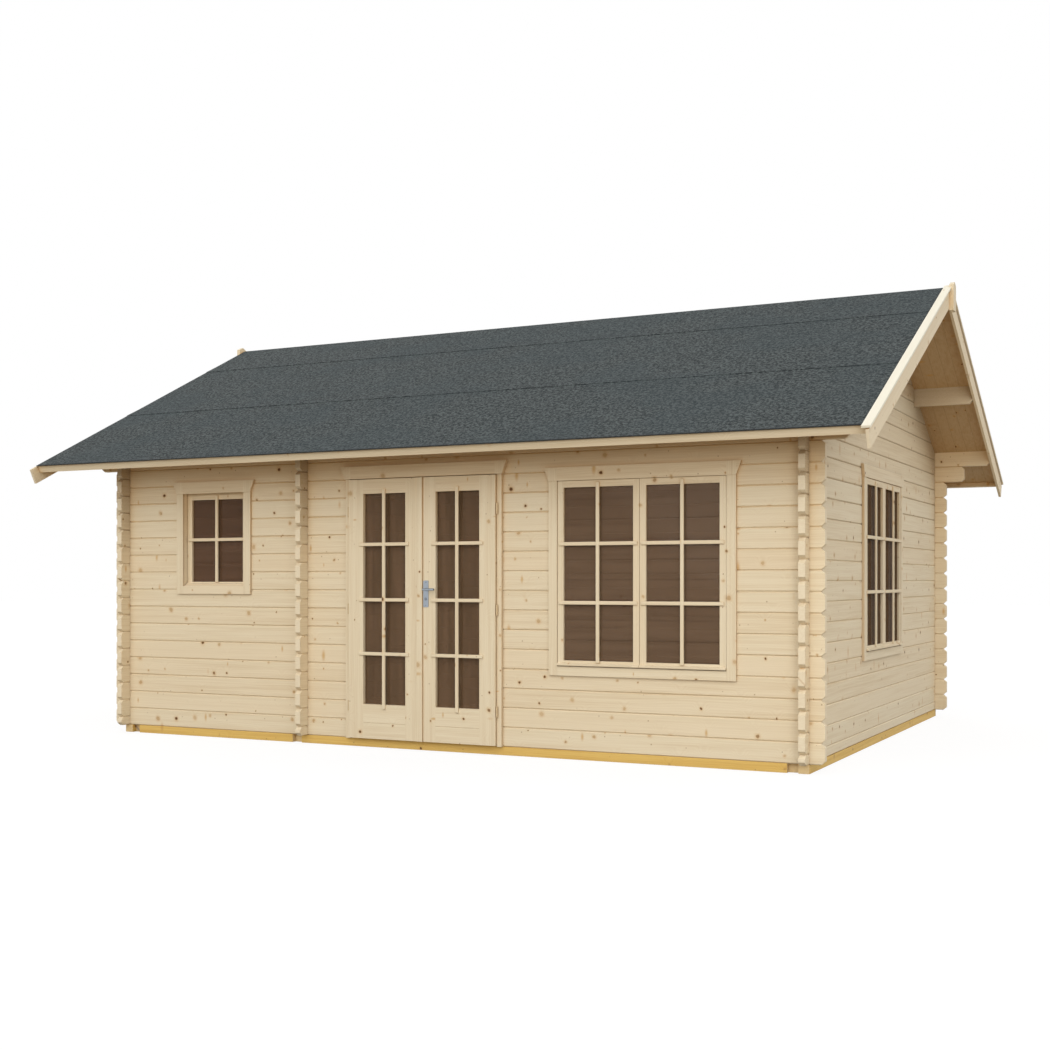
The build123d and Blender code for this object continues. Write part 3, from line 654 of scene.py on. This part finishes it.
def piece(name, bm, material, body):
    """Makes an object from a mesh in the cabin's frame that rides on a body.

    A bevel leaves its points and faces in an order that varies from run to run, so both are sorted by place.
    """
    bmesh.ops.recalc_face_normals(bm, faces=bm.faces)
    points = sorted(bm.verts, key=lambda point: point.co[:])
    numbers = {point: number for number, point in enumerate(points)}
    faces = []
    for face in bm.faces:
        ring = [numbers[corner] for corner in face.verts]
        first = ring.index(min(ring))
        faces.append(ring[first:] + ring[:first])
    mesh = bpy.data.meshes.new(name)
    mesh.from_pydata([point.co[:] for point in points], [], sorted(faces))
    bm.free()
    mesh.materials.append(material)
    made = put_in_scene(name, mesh)
    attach(made, body)


ROUND_SEGMENTS = 3
SAME_PLANE = 1e-6


def moulded_bar(bm, low, high, out, round_off):
    """A bar between two corners whose edges on the side that faces out are rounded off."""
    size = high - low
    place = Matrix.Translation((low + high) / 2) @ Matrix.Diagonal((*size, 1.0))
    corners = bmesh.ops.create_cube(bm, size=1.0, matrix=place)["verts"]
    face = max(corner.co @ out for corner in corners)
    shown = [corner for corner in corners if abs(corner.co @ out - face) < SAME_PLANE]
    rims = {line for corner in shown for line in corner.link_edges
            if all(end in shown for end in line.verts)}
    bmesh.ops.bevel(bm, geom=list(rims), offset=round_off, segments=ROUND_SEGMENTS, profile=0.5,
                    affect="EDGES")


# Glazing bars, in metres. LEVELS are the heights of the level bars' middles, and FOOT is how far an
# upright runs down past the pane.
BAR_W = 0.025
BAR_T = 0.011
INNER_BAR_T = 0.008
BAR_LAP = 0.031
BAR_ROUND = 0.0045
UPRIGHT_PROUD = 0.0012
UPRIGHT_PAST = 0.001
DRIP_OUT = 0.020
SASH_GAP = 0.003
FRONT_LEVELS = (1.467, 1.067)
SMALL_LEVELS = (1.538,)
GABLE_LEVELS = (1.535, 1.135)
DOOR_LEVELS = (1.481, 1.078, 0.685)
WIDE_FOOT = 0.012
SMALL_FOOT = 0.004
BAR_KNOTS = 0.5
FRONT = Vector((0.0, -1.0, 0.0))
RIGHT = Vector((1.0, 0.0, 0.0))


def lights(node, axis, count):
    """The spans along an axis of the one or two panes in a glass node."""
    low, high = (corner[axis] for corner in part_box(node))
    if count == 1:
        return [(low, high)]
    width = (high - low) / 2 - SASH_W - SASH_GAP / 2
    return [(low, low + width), (high - width, high)]


def window_bars(name, node, count, face, out, levels, foot, body):
    """Bars over the panes of a glass node: a grille on the face of the sash and one behind the glass."""
    bm = bmesh.new()
    axis = 0 if out == FRONT else 1
    through = 1 - axis
    low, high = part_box(node)
    bottom, top = low.z, high.z
    inside = high[through] if out[through] < 0 else low[through]

    def bar(side_low, side_high, z_low, z_high, start, thick, way):
        ends = sorted((start, start + way[through] * thick))
        corners = [Vector((0.0, 0.0, z_low)), Vector((0.0, 0.0, z_high))]
        for corner, side, depth in zip(corners, (side_low, side_high), ends):
            corner[axis] = side
            corner[through] = depth
        moulded_bar(bm, *corners, way, BAR_ROUND)

    uprights = []
    half = BAR_W / 2
    for left, right in lights(node, axis, count):
        middle = (left + right) / 2
        uprights.append((middle - half - UPRIGHT_PAST, middle + half + UPRIGHT_PAST))
        bar(middle - half, middle + half, bottom - foot, top + BAR_LAP, face, BAR_T + UPRIGHT_PROUD, out)
        bar(middle - half, middle + half, bottom, top, inside, INNER_BAR_T + UPRIGHT_PROUD, -out)
        for level in levels:
            bar(left - BAR_LAP, right + BAR_LAP, level - half, level + half, face, BAR_T, out)
            bar(left, right, level - half, level + half, inside, INNER_BAR_T, -out)
    material = wood(name + "_wood", LEVEL_LAY[axis], uprights=uprights, knots=BAR_KNOTS)
    piece(name, bm, material, body)


window_bars("front_window_bars", "front_window_glass", 2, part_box("front_window_sashes")[0].y + DRIP_OUT,
            FRONT, FRONT_LEVELS, WIDE_FOOT, "cabin")
window_bars("small_window_bars", "small_window_glass", 1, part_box("small_window_sash")[0].y + DRIP_OUT,
            FRONT, SMALL_LEVELS, SMALL_FOOT, "cabin")
window_bars("gable_window_bars", "gable_window_glass", 2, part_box("gable_window_sashes")[1].x - DRIP_OUT,
            RIGHT, GABLE_LEVELS, WIDE_FOOT, "cabin")
leaf_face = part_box("right_door_leaf")[0].y
for side in ("left", "right"):
    window_bars(side + "_door_bars", side + "_door_glass", 1, leaf_face,
                FRONT, DOOR_LEVELS, BAR_LAP, side + "_leaf")

# Beads in the gaps round the leaves, in metres; FREE is what they leave clear for the leaves to swing
BEAD_FREE = 0.0005
MEETING_FREE = 0.0013
CASING_GAP = 0.006
BEAD_ROUND = 0.001
MEETING_SET_BACK = 0.0005
MEETING_SHORT = 0.004
MEETING_OFF_BACK = 0.006
CASING_SET_BACK = 0.023
CASING_OFF_BACK = 0.008
bead_wood = wood("bead_wood", "zxy", tones=BEADING, knots=0.0)
left_low, left_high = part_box("left_door_leaf")
right_low, right_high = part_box("right_door_leaf")
bm = bmesh.new()
low = Vector((left_high.x, leaf_face + MEETING_SET_BACK, left_low.z + MEETING_SHORT))
high = Vector((right_low.x - MEETING_FREE, left_high.y - MEETING_OFF_BACK, left_high.z - MEETING_SHORT))
moulded_bar(bm, low, high, FRONT, BEAD_ROUND)
piece("meeting_bead", bm, bead_wood, "left_leaf")
bm = bmesh.new()
casing_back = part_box("door_casing")[1].y
for near, far in ((right_high.x + BEAD_FREE, right_high.x + CASING_GAP),
                  (left_low.x - CASING_GAP, left_low.x - BEAD_FREE)):
    low = Vector((near, leaf_face + CASING_SET_BACK, left_low.z))
    high = Vector((far, casing_back - CASING_OFF_BACK, left_high.z))
    moulded_bar(bm, low, high, FRONT, BEAD_ROUND)
piece("casing_beads", bm, bead_wood, "cabin")

# Lock and screws of the handle plates: pairs of radius and height, and their places on the plate, in metres
SCREW = ((0.0042, 0.0), (0.0042, 0.0004), (0.0034, 0.0011), (0.0019, 0.0012), (0.0016, 0.0003))
LOCK = ((0.0112, 0.0), (0.0112, 0.0008), (0.0102, 0.0014), (0.0086, 0.0014), (0.0086, 0.0028),
        (0.0078, 0.0034), (0.0022, 0.0034), (0.0018, 0.0012))
LOCK_UP = 0.058
SCREW_IN = 0.013
TURNED_SEGMENTS = 24


def turned(bm, centre, out, profile):
    """A round fitting on an upright face from pairs of radius and height, closed at its middle."""
    rings = []
    for radius, height in profile:
        ring = []
        for number in range(TURNED_SEGMENTS):
            angle = math.tau * number / TURNED_SEGMENTS
            spoke = Vector((math.cos(angle) * radius, 0.0, math.sin(angle) * radius))
            ring.append(bm.verts.new(centre + spoke + out * height))
        rings.append(ring)
    for lower, upper in zip(rings, rings[1:]):
        for number in range(TURNED_SEGMENTS):
            after = (number + 1) % TURNED_SEGMENTS
            bm.faces.new((lower[number], lower[after], upper[after], upper[number]))
    bm.faces.new(rings[0])
    bm.faces.new(rings[-1])


bm = bmesh.new()
plate_low, plate_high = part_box("handle_plates")
plate_x = (plate_low.x + plate_high.x) / 2
for out, face in ((FRONT, plate_low.y), (-FRONT, plate_high.y)):
    turned(bm, Vector((plate_x, face, plate_low.z + LOCK_UP)), out, LOCK)
    for z in (plate_low.z + SCREW_IN, plate_high.z - SCREW_IN):
        turned(bm, Vector((plate_x, face, z)), out, SCREW)
lock_steel = metal("lock_steel", linear(146, 152, 160), linear(96, 102, 110), STEEL_SHINE)
piece("handle_fittings", bm, lock_steel, "right_leaf")

# Floor and dome, which show as white and light the cabin at a plain level
FLOOR_HALF = 60.0
FLOOR_CELLS = 8
FLOOR_DROP = 0.002
FLOOR_BOUNCE = (0.3, 0.27, 0.22, 1.0)
FLOOR_SHADOW = (0.16, 0.16, 0.16, 1.0)
FLOOR_GLOW = 0.87
DOME = 0.72
DOME_RIGHT = 0.3
WHITE = (1.0, 1.0, 1.0, 1.0)


def seen(g):
    """1 where a ray comes from the camera, or from it by way of gloss or glass."""
    path = g.node("ShaderNodeLightPath")
    straight = g.math("MAXIMUM", path.outputs["Is Camera Ray"], path.outputs["Is Glossy Ray"])
    return g.math("MAXIMUM", straight, path.outputs["Is Transmission Ray"])


bm = bmesh.new()
bmesh.ops.create_grid(bm, x_segments=FLOOR_CELLS, y_segments=FLOOR_CELLS, size=FLOOR_HALF)
floor_mesh = bpy.data.meshes.new("studio_floor")
bm.to_mesh(floor_mesh)
bm.free()
floor = put_in_scene("studio_floor", floor_mesh)
floor.location.z = -FLOOR_DROP
floor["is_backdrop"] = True

g = new_material("studio_white")
g.surface({"Base Color": FLOOR_BOUNCE, "Roughness": 1.0, "Specular IOR Level": 0.0})
shadowed = g.node("ShaderNodeBsdfDiffuse")
shadowed.inputs["Color"].default_value = FLOOR_SHADOW
glow = g.node("ShaderNodeEmission")
glow.inputs["Strength"].default_value = FLOOR_GLOW
shown = g.node("ShaderNodeAddShader")
g.put(shown.inputs[0], shadowed.outputs[0])
g.put(shown.inputs[1], glow.outputs[0])
choice = g.node("ShaderNodeMixShader")
g.put(choice.inputs[0], seen(g))
g.put(choice.inputs[1], g.shader.outputs[0])
g.put(choice.inputs[2], shown.outputs[0])
g.put(g.tree.nodes["Material Output"].inputs["Surface"], choice.outputs[0])
floor_mesh.materials.append(g.owner)

sky = Graph(bpy.data.worlds.new("studio_dome"))
scene.world = sky.owner
backdrop = sky.tree.nodes["Background"]
backdrop.inputs["Color"].default_value = WHITE
way_x, _, _ = sky.split(sky.coordinate("Generated"))
level = sky.scaled(way_x, DOME_RIGHT, DOME)
sky.put(backdrop.inputs["Strength"], sky.between(seen(sky), level, 1.0))

# Lamps: ways to the two suns, and the place and aim of the fill, in metres
SUN_ANGLE = math.radians(70)
KEY_WAY = Vector((0.08, -1.0, 0.5))
REAR_WAY = Vector((-0.7, 0.6, 0.5))
FILL_PLACE = Vector((6.0, -7.0, 2.4))
FILL_AIM = Vector((2.0, -2.1, 1.2))


def lamp(name, kind, way, **settings):
    """A lamp whose light comes from the way given."""
    data = bpy.data.lights.new(name, kind)
    for key, value in settings.items():
        setattr(data, key, value)
    made = put_in_scene(name, data)
    made.rotation_euler = way.to_track_quat("Z", "Y").to_euler()
    return made


lamp("soft_key", "SUN", KEY_WAY, energy=1.36, angle=SUN_ANGLE, color=(1.0, 0.975, 0.94))
lamp("rear_fill", "SUN", REAR_WAY, energy=0.55, angle=SUN_ANGLE)
fill = lamp("right_fill", "AREA", FILL_PLACE - FILL_AIM, shape="DISK", size=2.4, energy=50.0,
            color=(1.0, 0.98, 0.95))
fill.location = FILL_PLACE

# Camera, from the photograph's vanishing points
lens = bpy.data.cameras.new("photo_camera")
lens.sensor_width = 36.0
lens.lens = 48.0
lens.shift_y = 0.0533
lens.clip_end = 200.0
camera = put_in_scene("photo_camera", lens)
camera.location = (5.141, -10.804, 1.215)
camera.rotation_euler = (math.radians(90.0), 0.0, math.radians(26.6))
bpy.context.scene.camera = camera
bpy.context.scene.view_settings.view_transform = "Standard"

low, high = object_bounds()
